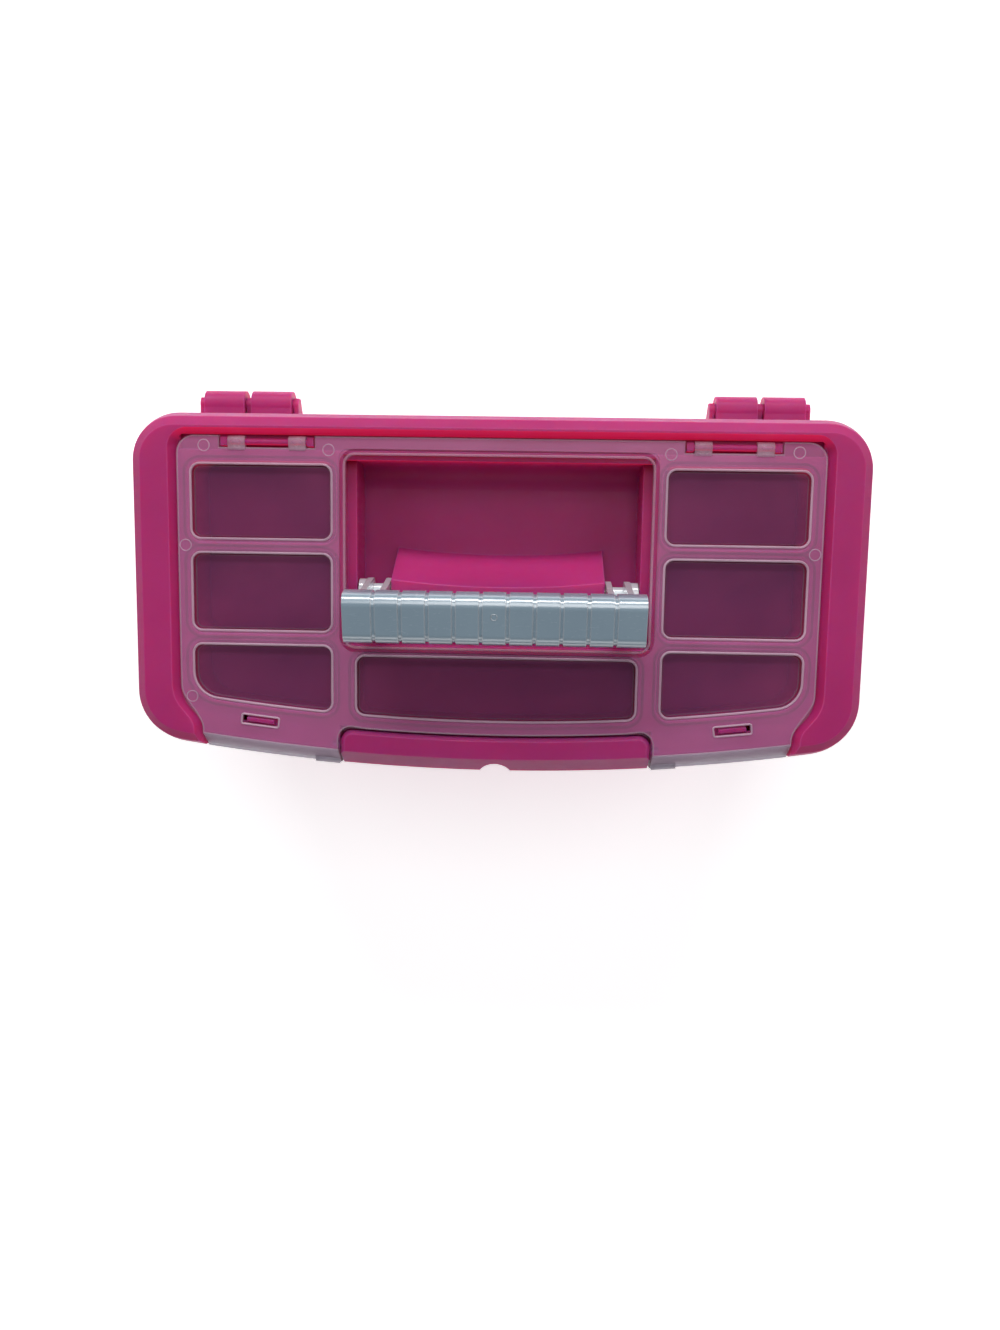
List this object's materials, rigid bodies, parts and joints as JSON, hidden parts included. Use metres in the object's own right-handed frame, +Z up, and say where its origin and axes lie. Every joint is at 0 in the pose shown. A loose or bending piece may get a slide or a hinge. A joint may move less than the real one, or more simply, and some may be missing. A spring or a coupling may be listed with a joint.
{
  "type": "sewing box with trays",
  "caption": "Moulded sewing box with a clear-topped organizer lid, fold-down carry handle, wide front latch and a lift-out tray with removable dividers.",
  "frame": {"origin": "middle of the flat base, on the surface the box stands on", "axes": "+X to the right along the width, +Y to the hinge side at the back, +Z up"},
  "size_m": [0.32, 0.1701, 0.1657],
  "materials": {
    "pink_shell": "satin moulded polypropylene",
    "clear_cover": "frosted translucent polypropylene",
    "grey_handle": "satin",
    "tray_plastic": "satin"
  },
  "bodies": {
    "body": {"box_body": "pink_shell"},
    "lid": {"lid": "pink_shell"},
    "cover": {"organizer_cover": "clear_cover"},
    "handle": {"carry_handle": "grey_handle"},
    "latch": {"front_latch": "pink_shell"},
    "tray": {"lift_out_tray": "tray_plastic", "front_left_divider": "tray_plastic", "front_right_divider": "tray_plastic", "back_left_divider": "tray_plastic", "back_right_divider": "tray_plastic"}
  },
  "joints": [
    {"name": "lid_hinge", "type": "hinge", "parent": "body", "child": "lid", "pos_m": [0, 0.0855, 0.089], "axis": [-1, 0, 0], "range_deg": [0, 105]},
    {"name": "cover_hinge", "type": "hinge", "parent": "lid", "child": "cover", "pos_m": [0, 0.0644, 0.1324], "axis": [-1, 0, 0], "range_deg": [0, 105]},
    {"name": "handle_pivot", "type": "hinge", "parent": "lid", "child": "handle", "pos_m": [0, 0.0015, 0.116], "axis": [-1, 0, 0], "range_deg": [0, 100]},
    {"name": "latch_pivot", "type": "hinge", "parent": "lid", "child": "latch", "pos_m": [0, -0.0656, 0.1296], "axis": [-1, 0, 0], "range_deg": [0, 90]},
    {"name": "tray_lift", "type": "slide", "parent": "body", "child": "tray", "axis": [0, 0, 1], "range_m": [0, 0.0035]}
  ]
}
